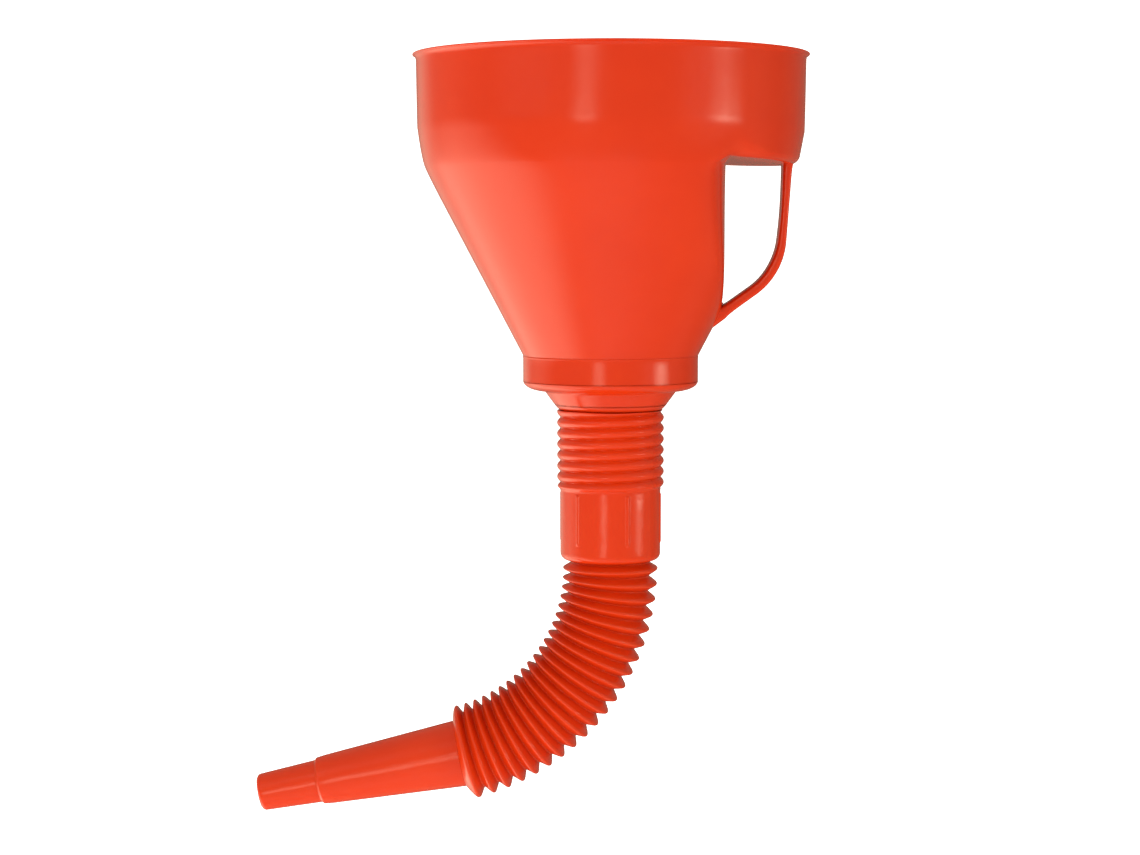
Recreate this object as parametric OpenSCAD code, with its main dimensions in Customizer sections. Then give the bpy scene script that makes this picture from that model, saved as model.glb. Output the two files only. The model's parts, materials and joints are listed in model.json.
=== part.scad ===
// Pouring funnel with a hand grip, a lift-out strainer and a flexible bellows spout.
// The origin is the centre of the collar on the bowl's axis. +Z is up, the hand grip
// is towards +X and the spout bends towards -X. All sizes are in millimetres.

/* [Bowl] */
// Outside diameter over the lip of the rim
rim_d = 160; // [130:1:200]
// How far the lip stands out past the side of the bowl
lip_out = 1.4; // [0.8:0.1:3]
// Height of the lip
lip_h = 2.4; // [2:0.1:6]
// Height of the bowl from the top of the collar to the rim
bowl_h = 121.4; // [108:0.1:160]
// Height of the upright side, from the rim down to where the cone begins
side_h = 40.7; // [36:0.1:48]
// How much the upright side narrows on its way down, on the radius
side_draft = 0.6; // [0:0.1:2]
// Radius that blends the upright side into the cone
shoulder_r = 45; // [20:1:60]
// Wall thickness of the bowl
wall = 1.8; // [1.4:0.1:2.6]

/* [Collar and outlet] */
// Outside diameter of the collar that holds the strainer
collar_d = 71.2; // [60:0.2:86]
// Height of the collar
collar_h = 14.6; // [12:0.2:20]
// Radius of the collar's lower edge
collar_edge_r = 4; // [2:0.1:5]
// Height of the small cone below the collar
outlet_h = 7.6; // [5:0.2:12]
// Diameter of that cone at its upper end
outlet_top_d = 54; // [50:0.2:56]
// Length of the threaded stub inside the cuff
stub_h = 31; // [24:0.5:40]

/* [Hand grip] */
// Distance of the flat back wall of the finger gap from the bowl's axis
gap_wall_x = 45; // [42:0.5:52]
// Distance from the start of the cone down to the ledge over the finger gap
ledge_below = 1.9; // [1:0.1:10]
// Angle by which the underside of the ledge drops outwards
ledge_drop = 3.6; // [0:0.2:5]
// Radius of the finger gap's upper inside corner
gap_corner_r = 3.3; // [1:0.1:6]
// Thickness of the strap
strap_t = 4; // [3:0.1:7]
// Width of the strap
strap_w = 14; // [8:0.5:24]
// Distance from the bowl's side in to the middle of the strap's top
strap_inset = 6.5; // [5:0.1:12]
// Angle of the upper leg of the strap from the upright
strap_lean = 4.2; // [0:0.2:8]
// Angle of the lower leg of the strap above the level
strap_rise = 35.5; // [30:0.5:45]
// Radius of the strap's bend at its centre line
strap_bend_r = 27; // [10:1:30]
// Height above the collar at which the strap's centre line meets the cone
strap_foot_h = 17; // [8:0.1:20]

/* [Strainer] */
// Gap around the strainer in the collar
strainer_gap = 0.5; // [0.3:0.1:1.5]
// Height of the strainer's frame
strainer_h = 6; // [4:0.1:8]
// Wall of the strainer's frame
strainer_wall = 2; // [1.5:0.1:3]
// Thickness of the gauze
gauze_t = 0.6; // [0.4:0.1:1]
// Travel that lifts the strainer out over the rim
strainer_travel = 140; // [120:1:180]

/* [Spout cuff] */
// Outside diameter of the plain part of the cuff
cuff_d = 40.8; // [38:0.2:50]
// Wall of the cuff
cuff_wall = 1.4; // [1:0.1:2]
// Length of the threaded band
band_h = 32.4; // [26:0.2:40]
// Pitch of the thread
thread_pitch = 4.4; // [3.5:0.1:6]
// How far the thread stands out of the band
thread_out = 1.4; // [0.8:0.1:2]
// Length of the plain band that the fingers turn
grip_h = 29.3; // [24:0.1:40]
// Number of raised ribs on the plain band
rib_count = 6; // [3:1:12]
// Width of a rib
rib_w = 1.2; // [0.8:0.1:3]
// How far a rib stands out
rib_out = 0.5; // [0.3:0.1:1]
// Length of a rib
rib_h = 21; // [12:0.5:22]
// Radial clearance between the stub's thread and the cuff's bore
thread_fit = 0.05; // [0.02:0.01:0.1]
// Gap between the outlet cone and the top of the cuff
cuff_gap = 0.5; // [0.3:0.1:1]

/* [Bellows] */
// Outside diameter over the folds
fold_d = 38.8; // [34:0.2:44]
// Diameter in the valleys between the folds
valley_d = 32.6; // [28:0.2:33]
// Distance from one fold to the next along the spout
fold_pitch = 5.16; // [4.9:0.02:6.5]
// Gap between one fold and the next at the valley
fold_gap = 1.8; // [1.76:0.02:2.2]
// Wall of the bellows
bellows_wall = 0.9; // [0.6:0.1:1.2]
// Bend at each valley in the stored position, in degrees
fold_bend = 3.75; // [0:0.05:4.5]

/* [Nozzle] */
// Length of the nozzle
nozzle_l = 85; // [60:1:110]
// Diameter of the nozzle where it leaves the bellows
nozzle_base_d = 27.5; // [22:0.1:30]
// Diameter just before the step
nozzle_mid_d = 20.1; // [18:0.1:24]
// Diameter just after the step
step_d = 17.6; // [15:0.1:19]
// Diameter at the tip
tip_d = 15; // [12:0.1:16]
// Length of the narrow end
tip_l = 24.8; // [15:0.1:35]
// Length of the sloping step
step_l = 5; // [2:0.5:8]
// Wall of the nozzle
nozzle_wall = 1.5; // [1.2:0.1:2.2]

/* [Hidden] */
$fn = 96;
// Steps in a rounded corner of an outline
ARC_STEPS = 8;
// Extra length of a cutting body past the faces it opens
CUT = 1;

// Heights of the bowl
collar_top = collar_h / 2;
collar_bottom = -collar_h / 2;
rim_z = collar_top + bowl_h;
side_low_z = rim_z - side_h;
ledge_z = side_low_z - ledge_below;
outlet_low_z = collar_bottom - outlet_h;
stub_low_z = outlet_low_z - stub_h;

// Radii of the bowl
collar_r = collar_d / 2;
side_top_r = rim_d / 2 - lip_out;
side_low_r = side_top_r - side_draft;
cone_angle = atan2(side_low_r - collar_r, side_low_z - collar_top);
cone_wall = wall / cos(cone_angle);

// Cuff, and the stub that runs in its bore
cuff_r = cuff_d / 2;
cuff_bore_r = cuff_r - cuff_wall;
cuff_top_z = outlet_low_z - cuff_gap;
band_low_z = cuff_top_z - band_h;
neck_z = band_low_z - grip_h;
neck_edge_r = 2.4;
neck_lip = 0.43;
rib_phase = -11;
rib_drop = 1.2;
stub_crest_r = cuff_bore_r - thread_fit;
stub_thread_out = 1.2;
stub_r = stub_crest_r - stub_thread_out;
stub_bore_r = stub_r - wall;
outlet_low_r = cuff_r + thread_out + 0.1;
shoulder_edge_r = 1.2;

// Strainer, and the corner of the collar that it stands in
seat_gap = 0.05;
seat_edge_r = 1.2;
strainer_r = collar_r - wall - strainer_gap;
strainer_low_z = collar_bottom + wall + seat_gap;
gauze_seat = 1;
gauze_r = strainer_r - strainer_wall + gauze_seat;
gauze_low_z = strainer_low_z + strainer_h / 2;
cross_bar_w = 2;
cross_bar_t = 2;
hub_r = 4;

// Bellows
fold_count = 21;
fold_r = fold_d / 2;
valley_r = valley_d / 2;
bellows_bore_r = valley_r - bellows_wall;
fold_t = fold_pitch - fold_gap;
crest_t = fold_t - 0.96;
crest_edge_r = crest_t * 0.46;
// The end faces of the cuff and of the nozzle keep the same gap at a valley as the folds do
valley_gap = fold_gap / 2;

function fold_name(i) = str("bellows_ring_", i < 10 ? "0" : "", i);

// ---- outlines -------------------------------------------------------------

function unit(v) = v / norm(v);
function turned(v, a) = [v.x * cos(a) - v.y * sin(a), v.x * sin(a) + v.y * cos(a)];

// The arc of radius r that rounds the corner b between the points a and c
function corner_arc(a, b, c, r) =
    let (
        u = unit(a - b),
        v = unit(c - b),
        half = acos(max(-1, min(1, u * v))) / 2,
        centre = b + unit(u + v) * r / sin(half),
        start = b + u * r / tan(half) - centre,
        side = u.x * v.y - u.y * v.x > 0 ? -1 : 1,
        sweep = side * (180 - 2 * half)
    )
    [for (k = [0 : ARC_STEPS]) centre + turned(start, sweep * k / ARC_STEPS)];

// A closed outline of [x, y, corner radius] points with its corners rounded
function rounded(p) =
    let (n = len(p))
    [for (i = [0 : n - 1])
        let (
            a = p[(i + n - 1) % n],
            b = p[i],
            c = p[(i + 1) % n]
        )
        each b.z > 0
            ? corner_arc([a.x, a.y], [b.x, b.y], [c.x, c.y], b.z)
            : [[b.x, b.y]]];

module revolve(points) rotate_extrude() polygon(rounded(points));

// ---- bowl -----------------------------------------------------------------

// Everything inside the outer skin of the bowl, collar and outlet, as a solid
module bowl_outside() {
    revolve([
        [0, stub_low_z, 0],
        [stub_r, stub_low_z, 0.6],
        [stub_r, outlet_low_z, 0],
        [outlet_low_r, outlet_low_z, shoulder_edge_r],
        [outlet_top_d / 2, collar_bottom, 0],
        [collar_r, collar_bottom, collar_edge_r],
        [collar_r, collar_top, 0],
        [side_low_r, side_low_z, shoulder_r],
        [side_top_r, rim_z - lip_h, 0],
        [side_top_r + lip_out, rim_z - lip_h, 0.4],
        [side_top_r + lip_out, rim_z, 0.8],
        [0, rim_z, 0],
    ]);
}

// The hollow of the bowl, down through the stub
module bowl_inside() {
    revolve([
        [0, stub_low_z - CUT, 0],
        [stub_bore_r, stub_low_z - CUT, 0],
        [stub_bore_r, outlet_low_z + wall, 0],
        [outlet_top_d / 2 - wall * 1.4, collar_bottom + wall, 0],
        [collar_r - wall, collar_bottom + wall, seat_edge_r],
        [collar_r - wall, collar_top, 0],
        [side_low_r - cone_wall, side_low_z, shoulder_r - wall],
        [side_top_r - wall, rim_z - lip_h, 0],
        [side_top_r - wall, rim_z + CUT, 0],
        [0, rim_z + CUT, 0],
    ]);
}

// The body cut away for the fingers; skin moves its faces in towards the bowl's axis
module gap_block(skin) {
    low_z = collar_top;
    far_x = rim_d;
    wall_top_x = gap_wall_x + 0.3 - skin;
    wall_low_x = gap_wall_x - 0.3 - skin;
    top_z = ledge_z + skin;
    drop = (far_x - wall_top_x) * tan(ledge_drop);
    rotate([90, 0, 0])
        linear_extrude(height = 2 * rim_d, center = true)
            polygon(rounded([
                [wall_low_x, low_z, 0],
                [far_x, low_z, 0],
                [far_x, top_z - drop, 0],
                [wall_top_x, top_z, gap_corner_r + skin],
            ]));
}

// The centre line of the strap: its top in the ledge, its foot in the cone's wall,
// and the corner where its two legs would meet
strap_root = 5;
strap_top = [side_low_r - strap_inset, ledge_z + wall / 2];
strap_foot = [collar_r + strap_foot_h * tan(cone_angle), collar_top + strap_foot_h]
    - strap_root * [cos(strap_rise), sin(strap_rise)];
function strap_corner() =
    let (
        across = strap_top.x - strap_foot.x,
        down = strap_top.y - strap_foot.y,
        fall = (across * tan(strap_rise) - down)
            / (tan(strap_lean) * tan(strap_rise) - 1)
    )
    [strap_top.x - fall * tan(strap_lean), strap_top.y - fall];

// The strap seen from the side, with its bend rounded
module strap_outline() {
    corner = strap_corner();
    down = unit(corner - strap_top);
    foot = unit(strap_foot - corner);
    out_top = [-down.y, down.x] * strap_t / 2;
    out_foot = [-foot.y, foot.x] * strap_t / 2;
    half_turn = acos(down * foot) / 2;
    mitre = unit(out_top + out_foot) * strap_t / 2 / cos(half_turn);
    polygon(rounded([
        [each (strap_top + out_top), 0],
        [each (corner + mitre), strap_bend_r + strap_t / 2],
        [each (strap_foot + out_foot), 0],
        [each (strap_foot - out_foot), 0],
        [each (corner - mitre), strap_bend_r - strap_t / 2],
        [each (strap_top - out_top), 0],
    ]));
}

module strap() {
    rotate([90, 0, 0])
        linear_extrude(height = strap_w, center = true)
            strap_outline();
}

// Rounded rings on a cylinder that stand for a thread, from high_z downwards
module thread_rings(r, out, high_z, count, pitch) {
    for (k = [0 : count - 1])
        translate([0, 0, high_z - k * pitch])
            rotate_extrude()
                intersection() {
                    translate([r - out * 0.2, 0])
                        circle(r = out * 1.2, $fn = 24);
                    translate([r - out, -2 * out])
                        square([3 * out, 4 * out]);
                }
}

module bowl() {
    stub_turns = floor((stub_h - thread_pitch) / thread_pitch);
    color("orangered")
        difference() {
            union() {
                difference() {
                    bowl_outside();
                    gap_block(0);
                }
                strap();
                thread_rings(stub_r, stub_thread_out, outlet_low_z - thread_pitch, stub_turns,
                    thread_pitch);
            }
            difference() {
                bowl_inside();
                gap_block(wall);
            }
        }
}

// ---- strainer -------------------------------------------------------------

module strainer_frame() {
    inner_r = strainer_r - strainer_wall;
    color("orangered")
        translate([0, 0, strainer_low_z])
            difference() {
                union() {
                    revolve([
                        [inner_r, 0, 0],
                        [strainer_r, 0, seat_edge_r],
                        [strainer_r, strainer_h, 0.4],
                        [inner_r, strainer_h, 0.4],
                    ]);
                    for (a = [0, 90])
                        rotate([0, 0, a])
                            translate([-inner_r - 0.5, -cross_bar_w / 2, strainer_h / 2 - cross_bar_t])
                                cube([2 * inner_r + 1, cross_bar_w, cross_bar_t]);
                    translate([0, 0, strainer_h / 2 - cross_bar_t])
                        cylinder(r = hub_r, h = cross_bar_t);
                }
                translate([0, 0, strainer_h / 2])
                    cylinder(r = gauze_r, h = gauze_t);
            }
}

module strainer_mesh() {
    color("gold")
        translate([0, 0, gauze_low_z])
            cylinder(r = gauze_r, h = gauze_t);
}

// ---- spout ----------------------------------------------------------------

module spout_cuff() {
    turns = floor((band_h - thread_pitch / 2) / thread_pitch);
    color("orangered")
        union() {
            revolve([
                [cuff_bore_r, cuff_top_z, 0],
                [cuff_bore_r, neck_z + valley_gap + neck_lip + cuff_wall, neck_edge_r - cuff_wall / 2],
                [bellows_bore_r, neck_z + valley_gap + neck_lip + cuff_wall, 0],
                [bellows_bore_r, neck_z + valley_gap, 0],
                [valley_r, neck_z + valley_gap, 0],
                [valley_r, neck_z + valley_gap + neck_lip, 0],
                [cuff_r, neck_z + valley_gap + neck_lip, neck_edge_r],
                [cuff_r, cuff_top_z, 0.5],
            ]);
            thread_rings(cuff_r, thread_out, cuff_top_z - thread_pitch * 0.6, turns, thread_pitch);
            for (k = [0 : rib_count - 1])
                rotate([0, 0, rib_phase + k * 360 / rib_count])
                    translate([cuff_r - cuff_wall / 2, -rib_w / 2, band_low_z - rib_drop - rib_h])
                        cube([cuff_wall / 2 + rib_out, rib_w, rib_h]);
        }
}

// The valley above fold i: the first lies under the cuff, and each next one a pitch on
function fold_angle(i) = (i - 1) * fold_bend;
function along(i) = fold_pitch * [-sin(fold_angle(i)), 0, -cos(fold_angle(i))];
function valley_at(i) = i == 1 ? [0, 0, neck_z] : valley_at(i - 1) + along(i - 1);

// Puts its children, drawn downwards from the origin, at valley i
module at_valley(i) {
    translate(valley_at(i))
        rotate([0, fold_angle(i), 0])
            children();
}

module bellows_ring(i) {
    half = fold_t / 2;
    inner_half = half - bellows_wall;
    inner_r = fold_r - bellows_wall;
    color("orangered")
        at_valley(i)
            translate([0, 0, -fold_pitch / 2])
                revolve([
                    [bellows_bore_r, -half, 0],
                    [valley_r, -half, 0],
                    [fold_r, -crest_t / 2, crest_edge_r],
                    [fold_r, crest_t / 2, crest_edge_r],
                    [valley_r, half, 0],
                    [bellows_bore_r, half, 0],
                    [bellows_bore_r, inner_half, 0],
                    [inner_r, inner_half / 2, 0],
                    [inner_r, -inner_half / 2, 0],
                    [bellows_bore_r, -inner_half, 0],
                ]);
}

module nozzle() {
    flange_t = 1.3;
    base_z = -valley_gap - flange_t;
    mid_z = tip_l + step_l - nozzle_l;
    step_z = tip_l - nozzle_l;
    color("orangered")
        at_valley(fold_count + 1)
            revolve([
                [bellows_bore_r, -valley_gap, 0],
                [valley_r, -valley_gap, 0.4],
                [valley_r, base_z, 0.6],
                [nozzle_base_d / 2, base_z, 0],
                [nozzle_mid_d / 2, mid_z, 0],
                [step_d / 2, step_z, 0],
                [tip_d / 2, -nozzle_l, 1.2],
                [tip_d / 2 - nozzle_wall, -nozzle_l, 0.2],
                [step_d / 2 - nozzle_wall, step_z, 0],
                [nozzle_mid_d / 2 - nozzle_wall, mid_z, 0],
                [nozzle_base_d / 2 - nozzle_wall, base_z, 0],
            ]);
}

bowl();
strainer_frame();
strainer_mesh();
spout_cuff();
for (i = [1 : fold_count])
    bellows_ring(i);
nozzle();
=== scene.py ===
# %% [markdown]
# # A pouring funnel with a hand grip and a flexible spout
#
# The funnel is two plastic mouldings that screw together, and a strainer that lifts out.
# The bowl is injection moulded, so it has a thin even wall, soft edges and a strong gloss.
# The spout is blow moulded in one piece: a threaded cuff, a run of folds and a nozzle.
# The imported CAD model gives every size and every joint. Here each piece gets its true skin.

# %% Load the fixed frame
import json
import math

import bpy
import numpy as np
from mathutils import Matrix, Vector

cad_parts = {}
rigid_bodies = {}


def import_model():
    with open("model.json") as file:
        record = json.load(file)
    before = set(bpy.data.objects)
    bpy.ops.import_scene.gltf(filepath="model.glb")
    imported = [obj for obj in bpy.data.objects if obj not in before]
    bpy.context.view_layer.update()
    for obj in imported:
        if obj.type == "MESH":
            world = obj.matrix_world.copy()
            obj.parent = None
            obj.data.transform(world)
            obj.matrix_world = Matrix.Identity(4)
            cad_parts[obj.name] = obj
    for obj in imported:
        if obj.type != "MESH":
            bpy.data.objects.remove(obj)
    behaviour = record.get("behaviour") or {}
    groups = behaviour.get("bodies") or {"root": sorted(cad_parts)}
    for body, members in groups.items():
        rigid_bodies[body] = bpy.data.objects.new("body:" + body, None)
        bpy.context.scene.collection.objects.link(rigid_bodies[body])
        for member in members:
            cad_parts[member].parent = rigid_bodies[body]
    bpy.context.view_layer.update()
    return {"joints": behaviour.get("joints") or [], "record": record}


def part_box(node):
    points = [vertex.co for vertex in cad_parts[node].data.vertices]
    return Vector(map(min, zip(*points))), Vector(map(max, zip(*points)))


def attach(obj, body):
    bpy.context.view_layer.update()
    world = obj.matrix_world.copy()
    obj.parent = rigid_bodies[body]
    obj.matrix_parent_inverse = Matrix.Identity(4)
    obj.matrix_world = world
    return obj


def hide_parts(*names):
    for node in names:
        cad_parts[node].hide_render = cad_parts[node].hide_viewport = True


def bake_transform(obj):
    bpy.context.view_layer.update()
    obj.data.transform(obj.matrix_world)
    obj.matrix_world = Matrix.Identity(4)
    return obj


for left_over in list(bpy.data.objects):
    bpy.data.objects.remove(left_over, do_unlink=True)
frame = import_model()

# %% [markdown]
# ## Sizes
#
# Lengths are in millimetres until a mesh is made, because that is how the part is drawn.
# The rim, the collar seat and the tip come from the frame. The small ones are the part's own.
# The spout's joints give the places of its valleys, so they are read and not worked out again.

# %% Sizes of the bowl
MM = 0.001
bowl_low, bowl_high = (np.array(corner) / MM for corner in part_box("bowl"))
cuff_high = np.array(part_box("spout_cuff")[1]) / MM
RIM_R = bowl_high[0]
RIM_Z = bowl_high[2]
STUB_LOW_Z = bowl_low[2]
WALL = 1.8
LIP_OUT = 1.4
LIP_H = 2.4
COLLAR_R = 35.6
COLLAR_TOP = 7.3
COLLAR_LOW = -7.0
COLLAR_EDGE = 4.0
SIDE_H = 40.7
SIDE_DRAFT = 0.6
SHOULDER_SOFTNESS = 1.6
SIDE_TOP_R = RIM_R - LIP_OUT
SIDE_LOW_R = SIDE_TOP_R - SIDE_DRAFT
SIDE_LOW_Z = RIM_Z - SIDE_H
CONE_RISE = (SIDE_LOW_R - COLLAR_R) / (SIDE_LOW_Z - COLLAR_TOP)
CONE_SKIN = math.hypot(1, CONE_RISE)
OUTLET_LOW_Z = -14.9
OUTLET_TOP_R = 27.0
OUTLET_LOW_R = 21.2
OUTLET_EDGE = 3.2
COLLAR_BEAD = [(0.06, 0.12), (0.14, 0.3), (0.14, 0.5), (0.04, 0.75), (0.0, 1.1)]
STUB_R = 17.75
STUB_BORE_R = STUB_R - WALL
print("rim radius", round(RIM_R, 2), "cone rise", round(CONE_RISE, 4))

# %% Sizes of the finger gap and the strap
GAP_WALL_TOP = 45.5
GAP_WALL_LOW = 45.0
GAP_BULGE_R = 650.0
CORNER_SOFTNESS_LOW = 1.0
CORNER_SOFTNESS_TOP = 6.0
CORNER_LOW_Z = 36.0
CORNER_TOP_Z = 80.0
LEDGE_Z = SIDE_LOW_Z - 1.9
LEDGE_DROP = math.tan(math.radians(3.6))
LEDGE_EDGE = 3.6
LEDGE_INNER_EDGE = 3.3
LEDGE_OPENS_OVER = 9.0
LEDGE_DIPS = 6.0
REACH_ABOVE = 13.0
REACH_BELOW = 8.0
STRAP_T = 4.3
STRAP_W = 14.0
STRAP_LEAN = math.radians(4.2)
STRAP_RISE = math.radians(35.5)
STRAP_BEND_R = 27.0
STRAP_THINNED = 0.9
STRAP_INSET = 6.7
STRAP_FOOT_H = 17.0

# %% Sizes of the spout
joints = {joint["name"]: joint for joint in frame["joints"]}
FOLDS = 21
CREST_R = 19.4
VALLEY_R = 15.9
SPOUT_WALL = 1.0
CUFF_R = 20.4
CUFF_BORE_R = 19.0
CUFF_TOP_Z = cuff_high[2]
THREAD_OUT = cuff_high[0] - CUFF_R
THREAD_PITCH = 4.4
THREAD_START_Z = -17.9
BAND_LOW_Z = -47.8
RIB_W = 1.4
RIB_OUT = 0.5
RIB_H = 21.0
NOZZLE_BASE_R = 13.7
NOZZLE_MID_R = 10.05
STEP_R = 8.75
TIP_R = 7.5
TIP_L = 24.8
STEP_L = 4.4
SHELF_R = 9.6
NOZZLE_WALL = 1.5
bend_joints = ["spout_bend"] + [f"fold_bend_{i:02d}" for i in range(3, FOLDS + 1)] + ["nozzle_bend"]
pivots = np.array([joints[name]["pos_m"] for name in bend_joints]) / MM
PITCH = np.linalg.norm(pivots[1] - pivots[0])
BEND = math.radians(3.75)
NECK = pivots[0] + [0, 0, PITCH]
valleys = np.vstack([NECK, pivots])
mounts = {mount["name"]: mount for mount in frame["record"]["mounts"]}
NOZZLE_L = np.linalg.norm(np.array(mounts["nozzle_tip"]["pos_m"]) / MM - valleys[-1])
print("pitch", round(PITCH, 3), "last valley", valleys[-1].round(2), "nozzle", round(NOZZLE_L, 2))

# %% [markdown]
# ## Turning formulas into meshes
#
# Every skin here is a grid of points: rows run along a profile and columns run round it.
# A closed loop of rows gives a wall with two faces, so each piece is a watertight solid.
# The signed volume tells which way the faces point, and a negative one is turned round.

# %% Grid of points to mesh
def grid_faces(rows, columns):
    """Four-sided faces of a grid whose last row and column join the first ones."""
    row, column = np.meshgrid(np.arange(rows), np.arange(columns), indexing="ij")
    next_row = (row + 1) % rows
    next_column = (column + 1) % columns
    corners = [row * columns + column, row * columns + next_column,
               next_row * columns + next_column, next_row * columns + column]
    return np.stack(corners, axis=-1).reshape(-1, 4)


def signed_volume(points, faces):
    """Sum over both triangles of each face of a dot (b cross c), over six."""
    a, b, c, d = (points[faces[:, k]] for k in range(4))
    first = np.einsum("ij,ij->i", a, np.cross(b, c))
    second = np.einsum("ij,ij->i", a, np.cross(c, d))
    return (first + second).sum() / 6


def make_piece(name, shells, sharp_deg=38):
    """One object from grids of points in millimetres, each closed along rows and columns."""
    all_points, all_faces, start = [], [], 0
    for shell in shells:
        points = shell.reshape(-1, 3)
        faces = grid_faces(*shell.shape[:2])
        if signed_volume(points, faces) < 0:
            faces = faces[:, ::-1]
        all_points.append(points)
        all_faces.append(faces + start)
        start += len(points)
    points = np.vstack(all_points) * MM
    faces = np.vstack(all_faces)
    mesh = bpy.data.meshes.new(name)
    mesh.from_pydata(points, [], faces)
    mesh.shade_smooth()
    mesh.set_sharp_from_angle(angle=math.radians(sharp_deg))
    mesh.update()
    piece = bpy.data.objects.new(name, mesh)
    bpy.context.scene.collection.objects.link(piece)
    volume = signed_volume(points / MM, faces) / 1000
    print(f"{name}: {len(faces)} faces, {volume:.2f} cm3")
    return piece


# %% [markdown]
# Profiles are drawn as straight runs joined by round corners. A round corner is a circular
# arc, written as a weighted curve on three points: where it starts, the corner, where it ends.
# The weight of the corner is the sine of half the angle between the legs, which makes it a
# true circle. Because it is set by how far back it starts, it stays tidy on a flat corner too.

# %% Straight runs and round corners
def soft_min(a, b, softness):
    """Smaller of a and b, with the corner between them rounded off: -k log(exp(-a/k) + exp(-b/k))."""
    return -softness * np.logaddexp(-a / softness, -b / softness)


def smooth_step(t):
    """0 below 0, 1 above 1, and 3t^2 - 2t^3 between them."""
    t = np.clip(t, 0, 1)
    return t * t * (3 - 2 * t)


def bump(distance, width):
    """1 in the middle, falling as a squared cosine to 0 at half the width away."""
    return np.cos(np.clip(np.abs(distance) / width, 0, 0.5) * math.pi) ** 2


def run(a, b, count):
    """Points evenly spread between a and b, without a and b. The result is count x columns x 2."""
    share = (np.arange(count) + 1).reshape(-1, 1, 1) / (count + 1)
    return a + (b - a) * share


def corner(a, b, c, setback, count=9, setback_after=None):
    """Arc round corner b that leaves the leg to a at the setback from b, and the leg to c at
    the setback after it, or at the same setback. Two different ones give part of an ellipse."""
    to_a = (a - b) / np.linalg.norm(a - b, axis=-1, keepdims=True)
    to_c = (c - b) / np.linalg.norm(c - b, axis=-1, keepdims=True)
    weight = np.sqrt(np.clip((1 - (to_a * to_c).sum(-1, keepdims=True)) / 2, 0, 1))
    before = np.broadcast_to(np.asarray(setback, float), to_a.shape[:-1])[..., None]
    if setback_after is None:
        setback_after = setback
    after = np.broadcast_to(np.asarray(setback_after, float), to_a.shape[:-1])[..., None]
    s = np.linspace(0, 1, count).reshape(-1, 1, 1)
    first, middle, last = (1 - s) ** 2, 2 * s * (1 - s) * weight, s ** 2
    total = first + middle + last
    return (first * (b + to_a * before) + middle * b + last * (b + to_c * after)) / total


def profile(points, columns=1, gap=3):
    """Rows of a closed outline of (radius, height, setback) points, the same for every column."""
    ends = [np.tile([[p[0], p[1]]], (columns, 1)) for p in points]
    rows = []
    for k, (_, _, setback) in enumerate(points):
        before, here, after = ends[k - 1], ends[k], ends[(k + 1) % len(ends)]
        rows.append(corner(before, here, after, setback, 7) if setback else here[None])
        rows.append(run(rows[-1][-1], after, gap))
    return np.concatenate(rows)


def around(rows, angles):
    """Rows of (radius, height) at the given angles to points in space about the Z axis."""
    radius, height, angles = np.broadcast_arrays(rows[..., 0], rows[..., 1], angles)
    return np.stack([radius * np.cos(angles), radius * np.sin(angles), height], axis=-1)


# %% [markdown]
# ## The bowl
#
# On the real bowl the side, the ledge over the fingers, the flat back of the finger gap, the
# cone, the collar and the outlet are one wall. It could be built from a turned shape with a
# block cut out of it, but a cut leaves hard edges where the moulding has soft ones.
# So the wall is written as a formula: below the ledge its radius is the softer minimum of the
# turned side and of the flat back, and at the ledge the profile of each column steps inwards.

# %% Radius of the bowl's wall
BOWL_COLUMNS = 360
bowl_angles = np.arange(BOWL_COLUMNS) * 2 * math.pi / BOWL_COLUMNS


def side_radius(z, skin):
    """Turned side: an upright run with draft, blended into the cone; skin moves it inwards."""
    upright = SIDE_LOW_R - skin + SIDE_DRAFT * (z - SIDE_LOW_Z) / (SIDE_H - LIP_H)
    cone = COLLAR_R - skin * CONE_SKIN + CONE_RISE * (z - COLLAR_TOP)
    return soft_min(upright, cone, SHOULDER_SOFTNESS)


def body_radius(z, skin):
    """The side below the ledge, or the flat back where that is nearer. The back bulges a little,
    x = flat_x - y^2 / (2 bulge), which gives a quadratic for the radius at each angle."""
    share = (z - COLLAR_TOP) / (LEDGE_Z - COLLAR_TOP)
    flat_x = GAP_WALL_LOW + (GAP_WALL_TOP - GAP_WALL_LOW) * share - skin
    towards = np.maximum(np.cos(bowl_angles), 0.2)
    bulge = np.sin(bowl_angles) ** 2 / (2 * GAP_BULGE_R)
    flat = 2 * flat_x / (towards + np.sqrt(towards ** 2 + 4 * bulge * flat_x))
    flat = np.where(np.cos(bowl_angles) > 0.2, flat, 400.0)
    up = smooth_step((z - CORNER_LOW_Z) / (CORNER_TOP_Z - CORNER_LOW_Z))
    softness = CORNER_SOFTNESS_LOW + (CORNER_SOFTNESS_TOP - CORNER_SOFTNESS_LOW) * up
    return soft_min(side_radius(z, skin), flat, softness)


def at(radius, z):
    """A radius and a height for every column as points of the profile."""
    return np.stack(np.broadcast_arrays(radius, z, np.zeros(BOWL_COLUMNS))[:2], axis=-1)


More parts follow.
